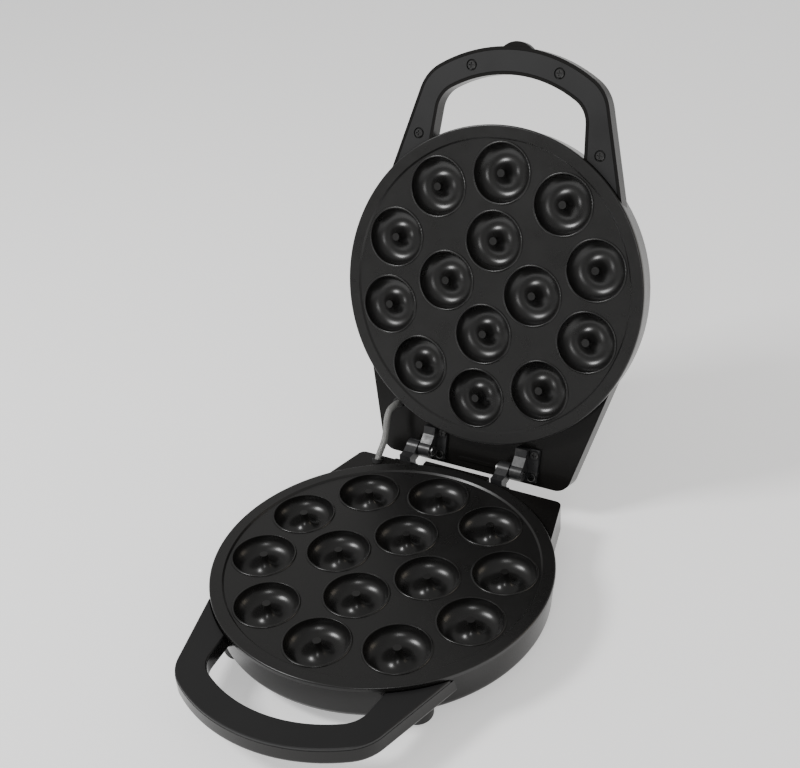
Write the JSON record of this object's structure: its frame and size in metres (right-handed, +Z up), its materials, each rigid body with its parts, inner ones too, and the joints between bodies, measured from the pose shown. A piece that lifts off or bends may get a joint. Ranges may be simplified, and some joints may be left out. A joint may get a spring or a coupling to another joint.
{
  "type": "donut maker",
  "caption": "Round table-top mini donut maker with a hinged lid, ring-shaped wells in both plates and a loop handle on each half, modelled open.",
  "frame": {"origin": "middle of the open appliance's footprint, on the plane the feet stand on", "axes": "+Z up, +Y towards the hinge and the open lid, +X to the right seen from the handle side"},
  "size_m": [0.23, 0.4042, 0.3222],
  "materials": {
    "black_shell": "satin gloss black moulded plastic",
    "black_cover": "fine matt black moulded plastic",
    "nonstick": "semi-gloss black non-stick coating on cast aluminium",
    "element_steel": "dull steel tube",
    "reflector_metal": "plain rolled sheet",
    "screw_steel": "zinc plated",
    "handle_screw": "blackened",
    "thermostat_metal": "plain",
    "fuse_sleeve": "woven glass sleeve",
    "ceramic": "glazed ceramic",
    "gland_plastic": "moulded",
    "hinge_grey": "dark grey cast, satin",
    "pin_steel": "turned",
    "foot_rubber": "moulded",
    "red_lens": "clear tinted",
    "green_lens": "clear tinted",
    "holder_plastic": "moulded",
    "grommet_rubber": "moulded",
    "braided_sleeve": "silver grey braided sleeve"
  },
  "bodies": {
    "base": {"base_shell": "black_shell", "base_handle_cover": "black_cover", "wiring_cover": "black_cover", "base_plate": "nonstick", "base_heating_element": "element_steel", "base_reflector": "reflector_metal", "base_plate_screws": "screw_steel", "base_handle_screws": "screw_steel", "wiring_cover_screws": "screw_steel", "base_bracket_screws": "screw_steel", "thermostat": "thermostat_metal", "thermal_fuse": "fuse_sleeve", "terminal_block": "ceramic", "cord_gland": "gland_plastic", "cord_gland_nut": "gland_plastic", "base_hinge_bracket_left": "hinge_grey", "base_hinge_bracket_right": "hinge_grey", "hinge_pin_left": "pin_steel", "hinge_pin_right": "pin_steel", "feet": "foot_rubber", "base_cable_grommet": "grommet_rubber", "link_cable": "braided_sleeve"},
    "lid": {"lid_shell": "black_shell", "lid_handle_cover": "black_cover", "lid_plate": "nonstick", "lid_heating_element": "element_steel", "lid_reflector": "reflector_metal", "lid_plate_screws": "screw_steel", "lid_handle_screws": "handle_screw", "lid_bracket_screws": "handle_screw", "lid_hinge_bracket_left": "hinge_grey", "lid_hinge_bracket_right": "hinge_grey", "power_lamp_lens": "red_lens", "ready_lamp_lens": "green_lens", "lamp_holder": "holder_plastic", "lid_cable_grommet": "grommet_rubber"}
  },
  "joints": [
    {"name": "lid_hinge", "type": "hinge", "parent": "base", "child": "lid", "pos_m": [0, 0.09051, 0.0384], "axis": [1, 0, 0], "range_deg": [0, 108.8], "deforming": ["link_cable"]}
  ]
}
